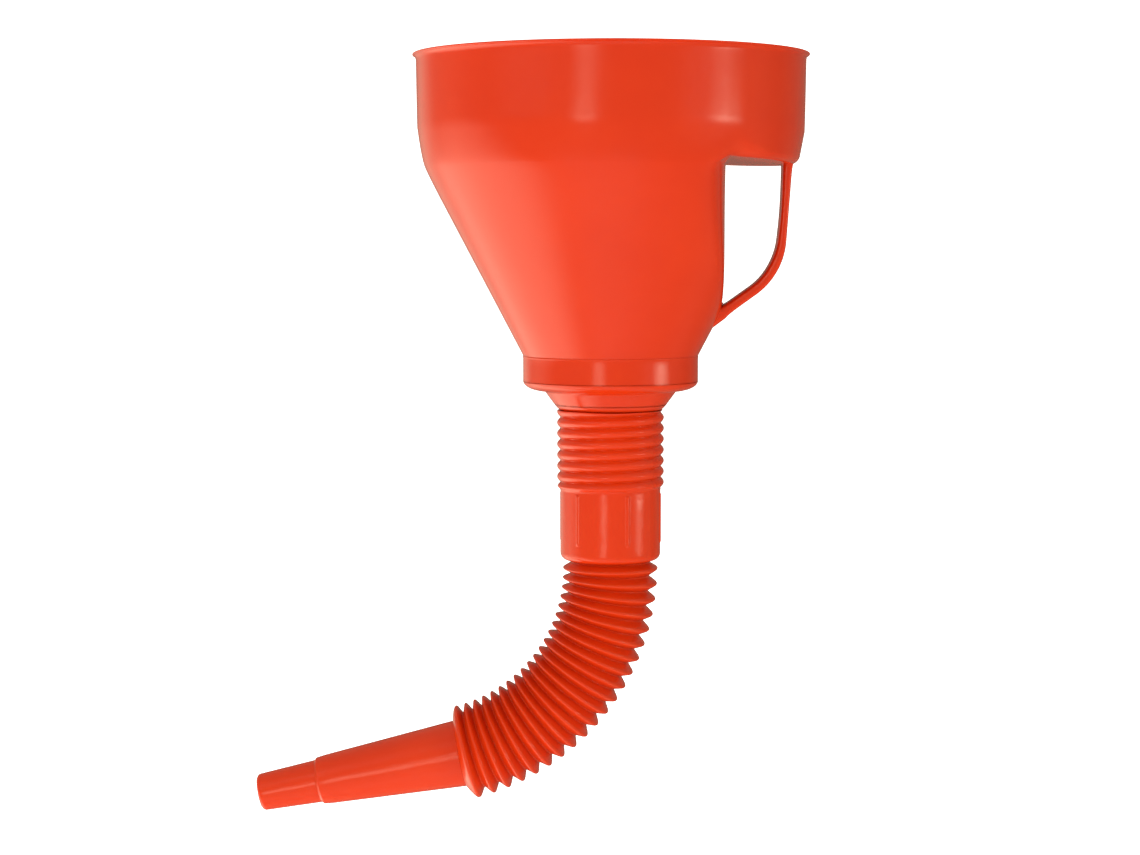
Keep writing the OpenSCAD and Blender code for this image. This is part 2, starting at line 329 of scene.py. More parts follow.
def side_to_collar(skin, rows_side, rows_body):
    """Profile from under the lip, over the ledge and down the flat back to the collar's top.
    Where the ledge is narrow, at its two ends, its edges grow soft and it dips into the cone."""
    reach = side_radius(LEDGE_Z, skin) * np.cos(bowl_angles)
    outer_z = LEDGE_Z + skin - LEDGE_DROP * np.maximum(reach - GAP_WALL_TOP, 0)
    depth = side_radius(LEDGE_Z, skin) - body_radius(LEDGE_Z, skin)
    opened = smooth_step(depth / LEDGE_OPENS_OVER)
    inner_z = LEDGE_Z + skin - LEDGE_DIPS * (1 - opened)
    above = at(side_radius(outer_z + REACH_ABOVE, skin), outer_z + REACH_ABOVE)
    outer = at(side_radius(outer_z, skin), outer_z)
    inner = at(body_radius(inner_z, skin), inner_z)
    below = at(body_radius(inner_z - REACH_BELOW, skin), inner_z - REACH_BELOW)
    top = at(side_radius(RIM_Z - LIP_H, skin), RIM_Z - LIP_H)
    soft = 1 - smooth_step((depth - 5) / 17)
    room = np.hypot(depth, inner_z - outer_z)
    outer_edge = LEDGE_EDGE - 0.6 * skin
    inner_edge = LEDGE_INNER_EDGE + 0.8 * skin
    round_outer = corner(above, outer, inner, outer_edge + 7 * soft, 13,
                         np.minimum(0.55 * room, outer_edge + 3.5 * soft))
    round_inner = corner(outer, inner, below, np.minimum(0.4 * room, inner_edge + 2 * soft), 11,
                         inner_edge + 3 * soft)
    side_z = run(top, above, rows_side)[..., 1]
    side_rows = at(side_radius(side_z, skin), side_z)
    share = np.linspace(0, 1, rows_body).reshape(-1, 1)
    body_z = inner_z - REACH_BELOW + (COLLAR_TOP - inner_z + REACH_BELOW) * share
    body_rows = np.stack([body_radius(body_z, skin), body_z], axis=-1)
    ledge = run(round_outer[-1], round_inner[0], 6)
    return [side_rows, above[None], round_outer, ledge, round_inner, body_rows]


# %% The whole wall of the bowl, outside and back up the inside
def bowl_rows():
    """One closed loop of rows: lip, outside, collar, outlet, stub, bore, strainer seat, inside."""
    one = lambda r, z: at(np.full(BOWL_COLUMNS, r), z)
    lip_in = one(SIDE_TOP_R - WALL, RIM_Z)
    lip_top = one(RIM_R, RIM_Z)
    lip_low = one(RIM_R, RIM_Z - 0.7)
    lip_root = one(SIDE_TOP_R, RIM_Z - 1.3)
    under = one(SIDE_TOP_R, RIM_Z - LIP_H - 1)
    collar_top = one(COLLAR_R, COLLAR_TOP)
    collar_low = one(COLLAR_R, COLLAR_LOW)
    outlet_top = one(OUTLET_TOP_R, COLLAR_LOW)
    outlet_low = one(OUTLET_LOW_R, OUTLET_LOW_Z)
    stub_top = one(STUB_R, OUTLET_LOW_Z)
    stub_low = one(STUB_R, STUB_LOW_Z)
    bore_low = one(STUB_BORE_R, STUB_LOW_Z)
    bore_top = one(STUB_BORE_R, OUTLET_LOW_Z + WALL)
    seat_in = one(OUTLET_TOP_R - 2.5, WALL - COLLAR_TOP)
    seat_out = one(COLLAR_R - WALL, WALL - COLLAR_TOP)
    seat_top = one(COLLAR_R - WALL, COLLAR_TOP)
    inside = side_to_collar(WALL, 8, 30)
    inside_up = [block[::-1] for block in reversed(inside)]
    return np.concatenate([
        corner(one(SIDE_TOP_R - WALL, RIM_Z - 3), lip_in, lip_top, 0.5, 5),
        corner(lip_in, lip_top, lip_low, 0.5, 6, 0.35),
        corner(lip_top, lip_low, lip_root, 0.3, 6, 0.3),
        corner(lip_low, lip_root, under, 1.1, 9, 1.5),
        *side_to_collar(0, 12, 46),
        *[one(COLLAR_R + r, COLLAR_TOP - dz)[None] for r, dz in COLLAR_BEAD],
        run(collar_top, collar_low, 3),
        corner(collar_top, collar_low, outlet_top, COLLAR_EDGE, 14, 8.0),
        corner(collar_low, outlet_top, outlet_low, 0.9, 6),
        run(outlet_top, outlet_low, 3),
        corner(outlet_top, outlet_low, stub_top, OUTLET_EDGE, 12, 1.0),
        corner(outlet_low, stub_top, stub_low, 0.6, 4),
        corner(stub_top, stub_low, bore_low, 0.5, 4),
        corner(stub_low, bore_low, bore_top, 0.5, 4),
        corner(bore_low, bore_top, seat_in, 1.5, 6),
        corner(bore_top, seat_in, seat_out, 1.0, 5),
        corner(seat_in, seat_out, seat_top, 1.2, 7),
        run(seat_out, seat_top, 3),
        *inside_up,
    ])


bowl = make_piece("bowl_wall", [around(bowl_rows(), bowl_angles)])

# %% [markdown]
# ## The strap of the hand grip
#
# The strap is part of the same moulding. It is a rounded bar, flatter than it is wide, that
# leaves the ledge, comes down almost upright and turns in to the cone. It is carried along its
# centre line: two straight legs and an arc. Its ends swell a little where they run into the
# wall, and they follow the wall's own surface so that nothing pokes through to the inside.

# %% Centre line and section of the strap
def strap_line():
    """Centre line as points (x, z): upper leg, bend, lower leg."""
    top = np.array([SIDE_LOW_R - STRAP_INSET, LEDGE_Z + WALL / 2])
    foot = np.array([COLLAR_R + STRAP_FOOT_H * CONE_RISE, COLLAR_TOP + STRAP_FOOT_H])
    rise = math.tan(STRAP_RISE)
    lean = math.tan(STRAP_LEAN)
    fall = ((top[0] - foot[0]) * rise - (top[1] - foot[1])) / (lean * rise - 1)
    bend = np.array([top[0] - fall * lean, top[1] - fall])
    turn = math.pi / 2 - STRAP_LEAN - STRAP_RISE
    back = STRAP_BEND_R * math.tan(turn / 2)
    arc = corner(top[None], bend[None], foot[None], back, 28)[:, 0]
    upper = run(top[None], arc[:1], 26)[:, 0]
    lower = run(arc[-1:], foot[None], 26)[:, 0]
    return np.vstack([top, upper, arc, lower, foot])


def strap_grid():
    """Superellipse section |a|^4 + |b|^4 = 1 along the centre line, swelling as exp(-s/2) at its ends.
    The upper leg is thinned on its inner side, most of all half way down."""
    line = strap_line()
    step = np.gradient(line, axis=0)
    step /= np.linalg.norm(step, axis=1, keepdims=True)
    length = np.concatenate([[0], np.cumsum(np.linalg.norm(np.diff(line, axis=0), axis=1))])
    swell = 1 + 0.30 * np.exp(-(length - 1.0).clip(0) / 1.6) + 0.35 * np.exp(-(length[-1] - length) / 2.2)
    turn = np.arange(48) * 2 * math.pi / 48
    across = np.sign(np.cos(turn)) * np.abs(np.cos(turn)) ** 0.5 * STRAP_T / 2
    thinned = STRAP_THINNED * (0.35 + 0.65 * bump(length - 22, 44)) * smooth_step((48 - length) / 16)
    across = across + np.outer(thinned, 0.5 - 0.5 * across / across.max())
    along_y = np.sign(np.sin(turn)) * np.abs(np.sin(turn)) ** 0.5 * STRAP_W / 2
    x = line[:, :1] - step[:, 1:] * across * swell[:, None]
    z = line[:, 1:] + step[:, :1] * across * swell[:, None]
    y = along_y * (0.6 + 0.4 * swell[:, None])
    return np.stack([x, y, z], axis=-1), step


def sink_ends(grid, step):
    """Slides the first and last rows along the strap until they lie half a wall deep."""
    first, last = grid[0], grid[-1]
    ledge = LEDGE_Z + WALL / 2 - LEDGE_DROP * (first[:, 0] - GAP_WALL_TOP)
    slide = (ledge - first[:, 2]) / step[0, 1]
    grid[0] = first + slide[:, None] * [step[0, 0], 0, step[0, 1]]
    for _ in range(12):
        radius = np.hypot(last[:, 0], last[:, 1])
        cone = COLLAR_R + CONE_RISE * (last[:, 2] - COLLAR_TOP) - CONE_SKIN * WALL / 2
        rate = step[-1, 0] - CONE_RISE * step[-1, 1]
        last = last + ((cone - radius) / rate)[:, None] * [step[-1, 0], 0, step[-1, 1]]
    grid[-1] = last
    return grid


# %% The strap as a closed bar
def capped_piece(name, grids):
    """One object from bars: open grids along a path whose two ends are closed by one face each."""
    all_points, all_faces, start = [], [], 0
    for grid in grids:
        rows, columns = grid.shape[:2]
        sides = grid_faces(rows, columns)[: (rows - 1) * columns]
        points = grid.reshape(-1, 3)
        middles = np.array([grid[0].mean(0), grid[-1].mean(0)])
        ring = np.arange(columns)
        nxt = (ring + 1) % columns
        last = (rows - 1) * columns
        low_cap = np.stack([nxt, ring, np.full(columns, rows * columns)], axis=1)
        high_cap = np.stack([last + ring, last + nxt, np.full(columns, rows * columns + 1)], axis=1)
        triangles = np.vstack([low_cap, high_cap])
        points = np.vstack([points, middles])
        a, b, c = (points[triangles[:, k]] for k in range(3))
        volume = signed_volume(points, sides) + np.einsum("ij,ij->i", a, np.cross(b, c)).sum() / 6
        if volume < 0:
            sides, triangles = sides[:, ::-1], triangles[:, ::-1]
        all_points.append(points)
        all_faces += (sides + start).tolist() + (triangles + start).tolist()
        start += len(points)
    mesh = bpy.data.meshes.new(name)
    mesh.from_pydata(np.vstack(all_points) * MM, [], all_faces)
    mesh.shade_smooth()
    mesh.set_sharp_from_angle(angle=math.radians(50))
    piece = bpy.data.objects.new(name, mesh)
    bpy.context.scene.collection.objects.link(piece)
    print(f"{name}: {len(all_faces)} faces")
    return piece


strap = capped_piece("grip_strap", [sink_ends(*strap_grid())])

# %% [markdown]
# ## The threaded stub
#
# The outlet ends in a threaded stub that the spout's cuff screws on to. It is hidden inside
# the cuff, and shows only through the bore or with the spout bent away. Its thread is a real
# helix: the radius rises and falls with the height, and the phase moves with the angle.

# %% Helical ridge
def helix(z, angles, start_z, pitch):
    """Height of a round ridge with a sharp groove, |cos(pi p)|, where the phase p is
    (z - start) / pitch - angle / 360. It climbs anticlockwise, so it is a right-hand thread."""
    phase = (z - start_z) / pitch - angles / (2 * math.pi)
    return np.abs(np.cos(math.pi * phase))


def stub_grid():
    """The stub's thread: the helix laid on the stub, faded at both ends."""
    angles = np.arange(144) * 2 * math.pi / 144
    z = np.linspace(OUTLET_LOW_Z - 2.5, STUB_LOW_Z + 1.5, 110).reshape(-1, 1)
    fade = smooth_step((z[0] - z) / 2) * smooth_step((z - z[-1]) / 2)
    outer = STUB_R + 0.02 + 1.0 * fade * helix(z, angles, THREAD_START_Z, THREAD_PITCH) ** 2
    outside = np.stack([outer, np.broadcast_to(z, outer.shape)], axis=-1)
    inside = np.stack([np.full_like(outer, STUB_R - 0.4), np.broadcast_to(z, outer.shape)], axis=-1)
    return around(np.concatenate([outside, inside[::-12]]), angles)


stub = make_piece("stub_thread", [stub_grid()])

# %% [markdown]
# ## The cuff
#
# The cuff is the top of the blow-moulded spout. Its upper band is the thread, pressed through
# the wall so that it shows outside as one rounded ridge winding down. Below it is a plain band
# with six low ribs for the fingers, and faint lines where the two mould halves met.
# It is a height added to a cylinder: the ridge, the ribs and the mould line are summed.

# %% Outside of the cuff
CUFF_COLUMNS = 400
cuff_angles = np.arange(CUFF_COLUMNS) * 2 * math.pi / CUFF_COLUMNS
RIB_PHASE = math.radians(-11)
MOULD_LINE = math.radians(-39)


def cuff_height(z):
    """What stands out of the plain cylinder at each height and angle."""
    band = smooth_step((z - BAND_LOW_Z) / 2.2)
    thread = THREAD_OUT * band * helix(z, cuff_angles, THREAD_START_Z, THREAD_PITCH)
    step = math.pi / 3
    from_rib = (cuff_angles - RIB_PHASE + step / 2) % step - step / 2
    flat_top = np.minimum(1.35 * bump(from_rib * CUFF_R, 1.5 * RIB_W), 1)
    rib_top = BAND_LOW_Z - 0.4
    rib_ends = smooth_step((rib_top - z) / 0.9) * smooth_step((z - rib_top + RIB_H) / 0.9)
    from_line = (cuff_angles - MOULD_LINE + math.pi / 2) % math.pi - math.pi / 2
    line = 0.10 * bump(from_line * CUFF_R, 0.9)
    return thread + RIB_OUT * flat_top * rib_ends + line


def cuff_top(angles):
    """Height of the trimmed top edge, with the small waves that the trimming leaves."""
    return CUFF_TOP_Z + 0.26 + 0.10 * np.sin(2 * angles + 0.6) + 0.08 * np.sin(5 * angles)


# %% [markdown]
# Below its plain band the cuff turns in to the first valley and out again to the first fold.
# A fold's profile is a zigzag with a round crest and a tight valley. It is made of a parabola
# at the crest, a straight flank and a parabola at the valley, so that their slopes agree and
# two halves meet at a crest with no crease.

# %% Profile of a fold
CREST_SOFT = 0.85
VALLEY_SOFT = 0.30
FLANK = (CREST_R - VALLEY_R) / (PITCH / 2 - CREST_SOFT / 2 - VALLEY_SOFT / 2)


def fold_radius(from_crest):
    """Radius at a distance from the crest, from 0 to half the pitch."""
    e = np.abs(from_crest)
    crest = CREST_R - FLANK * e ** 2 / (2 * CREST_SOFT)
    flank = CREST_R - FLANK * (e - CREST_SOFT / 2)
    valley = VALLEY_R + FLANK * (PITCH / 2 - e) ** 2 / (2 * VALLEY_SOFT)
    return np.where(e < CREST_SOFT, crest, np.where(e > PITCH / 2 - VALLEY_SOFT, valley, flank))


half_steps = np.concatenate([np.linspace(0, CREST_SOFT, 6),
                             np.linspace(CREST_SOFT, PITCH / 2 - VALLEY_SOFT, 4)[1:],
                             np.linspace(PITCH / 2 - VALLEY_SOFT, PITCH / 2, 4)[1:]])
fold_steps = np.concatenate([half_steps, PITCH - half_steps[-2::-1]])


def steps_radius(steps):
    """Radius along a whole pitch from one crest to the next."""
    return fold_radius(np.where(steps <= PITCH / 2, steps, PITCH - steps))


# %% The cuff's closed loop of rows
def cuff_rows():
    """Top edge, outside with its thread and ribs, round foot, first valley, first crest, inside."""
    flat = lambda r, z: np.stack(np.broadcast_arrays(r, z + 0 * cuff_angles), axis=-1)
    top_z = cuff_top(cuff_angles)
    foot_z = NECK[2] + 1.25
    share = np.linspace(0, 1, 122).reshape(-1, 1)
    band_z = top_z + (BAND_LOW_Z - 0.5 - top_z) * share
    plain_z = np.concatenate([np.linspace(BAND_LOW_Z - 0.7, BAND_LOW_Z - 2, 8),
                              np.linspace(BAND_LOW_Z - 4, BAND_LOW_Z - 19, 8),
                              np.linspace(BAND_LOW_Z - 20, BAND_LOW_Z - 22.5, 9),
                              [foot_z + 3.2]]).reshape(-1, 1)
    outside = [np.stack([CUFF_R + cuff_height(z), np.broadcast_to(z, (len(z), CUFF_COLUMNS))], axis=-1)
               for z in (band_z, plain_z)]
    foot = corner(flat(CUFF_R, foot_z + 5), flat(CUFF_R, foot_z), flat(VALLEY_R + 0.5, foot_z - 0.5),
                  2.6, 9)
    tail = half_steps[::-1]
    fold = flat(fold_radius(tail)[:, None], NECK[2] - PITCH / 2 + tail[:, None])
    back = half_steps[::4]
    fold_in = flat(fold_radius(back)[:, None] - SPOUT_WALL, NECK[2] - PITCH / 2 + back[:, None])
    inner_z = np.array([NECK[2] + 3.6, BAND_LOW_Z, CUFF_TOP_Z - 2])[:, None]
    inside = flat(CUFF_BORE_R + 0 * inner_z, inner_z)
    edge = [flat(CUFF_BORE_R, top_z - 0.5), flat(CUFF_BORE_R + 0.2, top_z - 0.1),
            flat(CUFF_BORE_R + 0.7, top_z), flat(CUFF_R + 0.1, top_z + 0.05),
            flat(CUFF_R + 0.6 * THREAD_OUT, top_z + 0.22)]
    return np.concatenate([*outside, foot, fold, fold_in, inside, *[row[None] for row in edge]])


cuff = make_piece("spout_cuff_skin", [around(cuff_rows(), cuff_angles)])

# %% [markdown]
# ## The folds
#
# The bellows bends at its valleys. One long mesh can follow only two bodies, so it is divided
# where it doesn't bend: at the crests. Each piece runs from one crest to the next, over the
# valley between them. The centre line is a curve through both crests that leaves each at a
# right angle to its ring, so neighbours meet in one smooth line.

# %% Folds between two crests
FOLD_COLUMNS = 128
fold_angles = np.arange(FOLD_COLUMNS) * 2 * math.pi / FOLD_COLUMNS


def heading(index):
    """Unit vector along the spout at ring number index; it turns from -Z towards -X."""
    turn = BEND * (index - 1)
    return np.array([-math.sin(turn), 0.0, -math.cos(turn)])


def crest_centre(index):
    """Middle of ring number index, half a pitch after its valley."""
    return valleys[index - 1] + heading(index) * PITCH / 2


def swept(path, direction, radius, angles):
    """Circles of the given radii about a path in the XZ plane, square to its direction."""
    side = np.stack([-direction[:, 2], 0 * direction[:, 0], direction[:, 0]], axis=1)
    round_x = (radius[:, None] * np.cos(angles))[..., None] * side[:, None, :]
    round_y = (radius[:, None] * np.sin(angles))[..., None] * np.array([0.0, 1.0, 0.0])
    return path[:, None, :] + round_x + round_y


def bezier(a, b, c, t):
    """Quadratic curve from a to c that leaves towards b, and its unit direction."""
    t = t[:, None]
    place = (1 - t) ** 2 * a + 2 * t * (1 - t) * b + t ** 2 * c
    step = 2 * (1 - t) * (b - a) + 2 * t * (c - b)
    return place, step / np.linalg.norm(step, axis=1, keepdims=True)


def fold_grid(index):
    """Both faces of the wall from crest index to crest index + 1."""
    start, valley, end = crest_centre(index), valleys[index], crest_centre(index + 1)
    outer_path, outer_way = bezier(start, valley, end, fold_steps / PITCH)
    inner_steps = fold_steps[::-3]
    inner_path, inner_way = bezier(start, valley, end, inner_steps / PITCH)
    outer = swept(outer_path, outer_way, steps_radius(fold_steps), fold_angles)
    inner = swept(inner_path, inner_way, steps_radius(inner_steps) - SPOUT_WALL, fold_angles)
    return np.concatenate([outer, inner])


fold_pieces = [make_piece(f"fold_skin_{index:02d}", [fold_grid(index)]) for index in range(1, FOLDS)]

# %% [markdown]
# ## The nozzle
#
# The last fold runs straight down its flank on to the nozzle, which tapers to a small step and
# then to a rounded tip. The end of the last fold is a short piece of its own that runs over
# the last joint, and the nozzle itself is turned about its slanted axis.

# %% End of the last fold
nozzle_way = heading(FOLDS + 1)
last_valley = valleys[FOLDS]
ROOT_L = 0.8


def end_fold_grid():
    """From the last crest down a straight flank to the nozzle's root."""
    total = PITCH / 2 + ROOT_L
    steps = np.concatenate([half_steps[:6], np.linspace(CREST_SOFT, total, 8)[1:]])
    slope = (fold_radius(CREST_SOFT) - NOZZLE_BASE_R) / (total - CREST_SOFT)
    straight = fold_radius(CREST_SOFT) - slope * (steps - CREST_SOFT)
    radius = np.where(steps <= CREST_SOFT, fold_radius(steps), straight)
    path, way = bezier(crest_centre(FOLDS), last_valley, last_valley + nozzle_way * ROOT_L, steps / total)
    outer = swept(path, way, radius, fold_angles)
    inner = swept(path[::-2], way[::-2], radius[::-2] - SPOUT_WALL, fold_angles)
    return np.concatenate([outer, inner])


end_fold = make_piece("fold_skin_end", [end_fold_grid()])


# %% The nozzle, turned about its own axis
def nozzle_grid():
    """A closed profile of (radius, distance along the axis), swept about the slanted axis."""
    angles = np.arange(160) * 2 * math.pi / 160
    mid = NOZZLE_L - TIP_L - STEP_L
    outline = [
        (NOZZLE_BASE_R, ROOT_L, 0.0), (NOZZLE_MID_R, mid, 1.0), (SHELF_R, mid + STEP_L - 0.7, 0.3),
        (STEP_R, mid + STEP_L, 0.4),
        (TIP_R, NOZZLE_L, 1.7), (TIP_R - NOZZLE_WALL, NOZZLE_L, 0.3),
        (STEP_R - NOZZLE_WALL, mid + STEP_L, 0.5), (NOZZLE_MID_R - NOZZLE_WALL, mid, 0.5),
        (NOZZLE_BASE_R - NOZZLE_WALL, ROOT_L, 0.0),
    ]
    rows = profile(outline, gap=6)[:, 0]
    path = last_valley + rows[:, 1:] * nozzle_way
    way = np.tile(nozzle_way, (len(rows), 1))
    return swept(path, way, rows[:, 0], angles)


nozzle = make_piece("nozzle_skin", [nozzle_grid()])

# %% [markdown]
# ## The strainer
#
# The strainer is a moulded ring with a cross under it, and a disc of woven brass wire held in
# the ring. A gauze could be a picture on a disc, but a picture has no depth at a low angle.
# So each wire is a thin tube that goes over and under the wires it crosses, as a sine wave.

# %% Ring and cross bars of the strainer
frame_low, frame_high = (np.array(corner_point) / MM for corner_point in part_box("strainer_frame"))
gauze_low, gauze_high = (np.array(corner_point) / MM for corner_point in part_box("strainer_mesh"))
RING_R = frame_high[0]
RING_WALL = 2.0
GAUZE_Z = (gauze_low[2] + gauze_high[2]) / 2


def ring_grid():
    """The ring: a rectangle with round corners, turned about the bowl's axis."""
    angles = np.arange(180) * 2 * math.pi / 180
    outline = [
        (RING_R, frame_low[2], 1.3), (RING_R, frame_high[2], 0.6),
        (RING_R - RING_WALL, frame_high[2], 0.6), (RING_R - RING_WALL, frame_low[2], 0.5),
    ]
    return around(profile(outline, gap=2), angles)


def cross_bar(turn):
    """A bar with rounded edges that crosses the ring under the gauze."""
    reach = RING_R - RING_WALL + 0.4
    along = np.linspace(-reach, reach, 24)
    round_angle = np.arange(24) * 2 * math.pi / 24
    across = np.sign(np.cos(round_angle)) * np.abs(np.cos(round_angle)) ** 0.5
    upright = np.sign(np.sin(round_angle)) * np.abs(np.sin(round_angle)) ** 0.5
    x = np.broadcast_to(along[:, None], (24, 24))
    y = np.broadcast_to(across, (24, 24))
    z = np.broadcast_to(gauze_low[2] - 1.02 + upright, (24, 24))
    turned_x = x * math.cos(turn) - y * math.sin(turn)
    turned_y = x * math.sin(turn) + y * math.cos(turn)
    return np.stack([turned_x, turned_y, z], axis=-1)


strainer_ring = make_piece("strainer_ring", [ring_grid()])
strainer_cross = capped_piece("strainer_cross", [cross_bar(0), cross_bar(math.pi / 2)])

# %% Woven gauze
WIRE_PITCH = 1.5
WIRE_R = 0.17


def wire_grids(turned):
    """Tubes along chords of the disc. The height is a cosine of the distance over the pitch,
    and neighbouring wires, and the two directions, are half a wave apart."""
    reach = RING_R - RING_WALL + 0.3
    offsets = np.arange(-math.floor(reach / WIRE_PITCH), math.floor(reach / WIRE_PITCH) + 1)
    section = np.arange(5) * 2 * math.pi / 5
    grids = []
    for number in offsets:
        place = (number + 0.5 * turned) * WIRE_PITCH
        half = math.sqrt(max(reach ** 2 - place ** 2, 1))
        along = np.linspace(-half, half, max(8, round(2 * half / WIRE_PITCH * 4)))
        phase = along / WIRE_PITCH + 0.5 * (1 - turned) + number + turned
        wave = WIRE_R * np.cos(math.pi * phase)
        side = place + WIRE_R * np.cos(section)
        height = GAUZE_Z + wave[:, None] + WIRE_R * np.sin(section)
        long_way = np.broadcast_to(along[:, None], height.shape)
        wide_way = np.broadcast_to(side, height.shape)
        flat_ways = [wide_way, long_way] if turned else [long_way, wide_way]
        grids.append(np.stack([*flat_ways, height], axis=-1))
    return grids


gauze = capped_piece("gauze_wires", wire_grids(0) + wire_grids(1))

# %% [markdown]
# ## Materials
#
# The bowl is injection-moulded polypropylene and the spout is softer blow-moulded
# polyethylene, both dyed the same orange red. A dyed moulding is never one flat colour:
# the dye streaks a little where it flowed, and light sinks in and comes out redder.
# The gloss comes from the polished mould, broken up by fine scuffs and a faint ripple.

# %% Colours and nodes
def linear(code):
    """sRGB hex code to linear red, green, blue and alpha."""
    parts = [int(code[k:k + 2], 16) / 255 for k in (0, 2, 4)]
    return [p / 12.92 if p <= 0.04045 else ((p + 0.055) / 1.055) ** 2.4 for p in parts] + [1.0]


def add_node(tree, kind, settings=(), **inputs):
    """Adds a node. settings are its own properties, and inputs are values or (node, output) links.
    An input's name is written with _ for a space."""
    node = tree.nodes.new(kind)
    for key, value in dict(settings).items():
        setattr(node, key, value)
    for key, value in inputs.items():
        socket = node.inputs[int(key[1:])] if key[1:].isdigit() else node.inputs[key.replace("_", " ")]
        if isinstance(value, tuple) and isinstance(value[0], bpy.types.Node):
            tree.links.new(value[0].outputs[value[1]], socket)
        else:
            socket.default_value = value
    return node


def new_material(name):
    """An empty node material, its tree and its output node."""
    material = bpy.data.materials.new(name)
    material.use_nodes = True
    material.node_tree.nodes.clear()
    output = material.node_tree.nodes.new("ShaderNodeOutputMaterial")
    return material, material.node_tree, output


# %% Moulded plastic
def moulded_plastic(name, body_hex, deep_hex, roughness, ripple_mm, scuff_share):
    """Dyed plastic from a polished mould.

    The body colour drifts to the deep one in soft clouds 30 mm across, as dye does in the melt.
    Roughness rises in fine scuffs, and two bumps give the wide ripple of a cooling wall and the
    fine grain of a worn mould, 0.5 mm across.
    """
    material, tree, output = new_material(name)
    place = add_node(tree, "ShaderNodeTexCoord")
    clouds = add_node(tree, "ShaderNodeTexNoise", Vector=(place, "Object"), Scale=1 / 0.030, Detail=3.0,
                      Roughness=0.55)
    colour = add_node(tree, "ShaderNodeMix", {"data_type": "RGBA"}, _0=(clouds, "Fac"), _6=linear(body_hex),
                      _7=linear(deep_hex))
    stretched = add_node(tree, "ShaderNodeMapping", Vector=(place, "Object"), Scale=(1.0, 1.0, 0.18))
    scuffs = add_node(tree, "ShaderNodeTexNoise", Vector=(stretched, "Vector"), Scale=1 / 0.0011, Detail=4.0,
                      Roughness=0.7)
    rough = add_node(tree, "ShaderNodeMapRange", Value=(scuffs, "Fac"), From_Min=0.45, From_Max=0.75,
                     To_Min=roughness, To_Max=roughness + scuff_share)
    ripple = add_node(tree, "ShaderNodeTexNoise", Vector=(place, "Object"), Scale=1 / (ripple_mm * MM),
                      Detail=2.0)
    grain = add_node(tree, "ShaderNodeTexNoise", Vector=(place, "Object"), Scale=1 / 0.0005, Detail=2.0)
    wide = add_node(tree, "ShaderNodeBump", Strength=0.25, Distance=0.0006, Height=(ripple, "Fac"))
    fine = add_node(tree, "ShaderNodeBump", Strength=0.12, Distance=0.00003, Height=(grain, "Fac"),
                    Normal=(wide, "Normal"))
    shader = add_node(tree, "ShaderNodeBsdfPrincipled", Base_Color=(colour, 2), Roughness=(rough, "Result"),
                      IOR=1.5, Subsurface_Weight=0.12, Subsurface_Scale=0.004, Normal=(fine, "Normal"))
    shader.inputs["Subsurface Radius"].default_value = (1.0, 0.25, 0.1)
    tree.links.new(shader.outputs["BSDF"], output.inputs["Surface"])
    return material


bowl_plastic = moulded_plastic("injection_moulded_polypropylene", "d2340a", "c82c07", 0.16, 26, 0.07)
spout_plastic = moulded_plastic("blow_moulded_polyethylene", "d6370c", "cc2e08", 0.15, 7, 0.08)


# %% Woven brass wire
def brass_wire(name):
    """Drawn brass: a metal with a warm yellow, duller in small spots where it has tarnished."""
    material, tree, output = new_material(name)
    place = add_node(tree, "ShaderNodeTexCoord")
    spots = add_node(tree, "ShaderNodeTexNoise", Vector=(place, "Object"), Scale=1 / 0.004, Detail=4.0)
    colour = add_node(tree, "ShaderNodeMix", {"data_type": "RGBA"}, _0=(spots, "Fac"), _6=linear("d9b56a"),
                      _7=linear("8f6f3a"))
    rough = add_node(tree, "ShaderNodeMapRange", Value=(spots, "Fac"), To_Min=0.22, To_Max=0.5)
    shader = add_node(tree, "ShaderNodeBsdfPrincipled", Base_Color=(colour, 2), Roughness=(rough, "Result"),
                      Metallic=1.0)
    tree.links.new(shader.outputs["BSDF"], output.inputs["Surface"])
    return material


gauze_brass = brass_wire("woven_brass_wire")

# %% [markdown]
# ## Putting the pieces on their bodies
#
# Each piece takes a finish, and most stand for CAD nodes and ride on a body of the frame.
# The folds between two rings, and the end of the last fold, ride on no body: their meshes
# stay where they were made, over the joints between the rings.

# %% Ride, replace and finish
def settle(piece, material, body=None, nodes=()):
    """Gives a piece its material and slot, the CAD nodes it stands for, and its body."""
    piece.data.materials.append(material)
    if body:
        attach(piece, body)
    if nodes:
        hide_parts(*nodes)


settle(bowl, bowl_plastic, "funnel_bowl", ["bowl"])
settle(strap, bowl_plastic, "funnel_bowl")
settle(stub, bowl_plastic, "funnel_bowl")
settle(cuff, spout_plastic, "spout", ["spout_cuff", "bellows_ring_01"])
settle(nozzle, spout_plastic, "nozzle", ["nozzle"])
settle(strainer_ring, bowl_plastic, "strainer", ["strainer_frame"])
settle(strainer_cross, bowl_plastic, "strainer")
settle(gauze, gauze_brass, "strainer", ["strainer_mesh"])

for index, piece in enumerate(fold_pieces, start=1):
    settle(piece, spout_plastic, nodes=[f"bellows_ring_{index + 1:02d}"])
    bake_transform(piece)

settle(end_fold, spout_plastic)
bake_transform(end_fold)

# %% [markdown]
# ## Studio
#
# The funnel hangs over a white floor in front of a white backdrop, which only the camera sees.
# Soft lights on all sides, with one that stands for the floor's own glow, shape the colour.

# %% Floor and backdrop
FLOOR_Z = -0.30


def stage_material(name, glow):
    """Matt white paper that glows a little, so that it stays white where the light falls off."""
    material, tree, output = new_material(name)
    shader = add_node(tree, "ShaderNodeBsdfPrincipled", Base_Color=linear("f6f6f6"), Roughness=0.9,
                      Emission_Color=linear("ffffff"), Emission_Strength=glow)
    tree.links.new(shader.outputs["BSDF"], output.inputs["Surface"])
    return material


